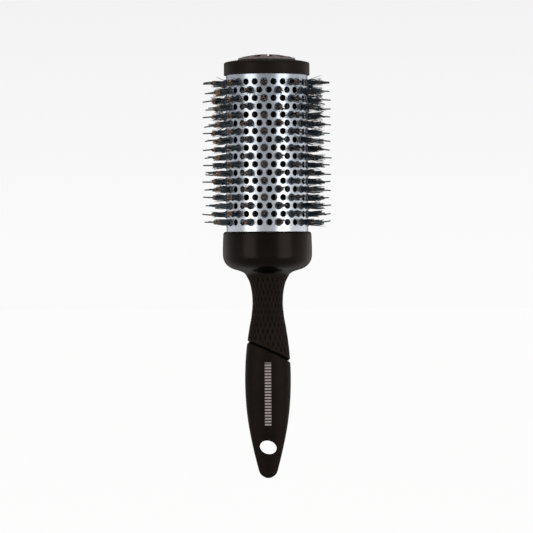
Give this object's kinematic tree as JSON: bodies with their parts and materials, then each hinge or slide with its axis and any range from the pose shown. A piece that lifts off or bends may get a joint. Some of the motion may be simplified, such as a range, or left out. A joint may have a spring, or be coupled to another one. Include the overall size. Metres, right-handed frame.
{
  "type": "round barrel hair brush",
  "caption": "Round brush for blow-drying: perforated metal barrel with tufted bristle strips, vented end cap and tapered soft grip.",
  "frame": {"origin": "tip of the handle, on the brush's axis, at the bottom centre of its box", "axes": "+Z along the brush's axis, from the tip of the handle to the end cap; -Y out of the front of the handle; +X to the right, seen from the front"},
  "size_m": [0.0776, 0.0778, 0.25],
  "materials": {
    "soft_grip": "matt soft-touch rubber, warm brown-black",
    "soft_touch_plastic": "satin soft-touch paint, warm brown-black",
    "hard_plastic": "satin moulded plastic",
    "barrel_aluminium": "bright brushed aluminium, slightly cool",
    "bristle_nylon": "blue-black nylon with brown tips mixed in",
    "inner_plastic": "plain black moulded nylon",
    "vent_disc_plastic": "satin brownish-grey plastic",
    "screw_steel": "zinc-plated"
  },
  "bodies": {
    "root": {"lower_grip": "soft_grip", "grip_sleeve": "soft_grip", "handle_core": "hard_plastic", "collar": "soft_touch_plastic", "barrel": "barrel_aluminium", "bristle_strip_01": "bristle_nylon", "bristle_strip_02": "bristle_nylon", "bristle_strip_03": "bristle_nylon", "bristle_strip_04": "bristle_nylon", "bristle_strip_05": "bristle_nylon", "bristle_strip_06": "bristle_nylon", "bristle_strip_07": "bristle_nylon", "bristle_strip_08": "bristle_nylon", "bristle_strip_09": "bristle_nylon", "bristle_strip_10": "bristle_nylon", "bristle_strip_11": "bristle_nylon", "bristle_strip_12": "bristle_nylon", "bristle_strip_13": "bristle_nylon", "bristle_strip_14": "bristle_nylon", "bristle_strip_15": "bristle_nylon", "bristle_strip_16": "bristle_nylon", "bristle_strip_17": "bristle_nylon", "bristle_strip_18": "bristle_nylon", "strip_tube": "inner_plastic", "lower_seat_ring": "inner_plastic", "upper_seat_ring": "inner_plastic", "end_cap": "soft_touch_plastic", "cap_vent_disc": "vent_disc_plastic", "cap_screw": "screw_steel", "screw_washer": "screw_steel"}
  },
  "joints": []
}
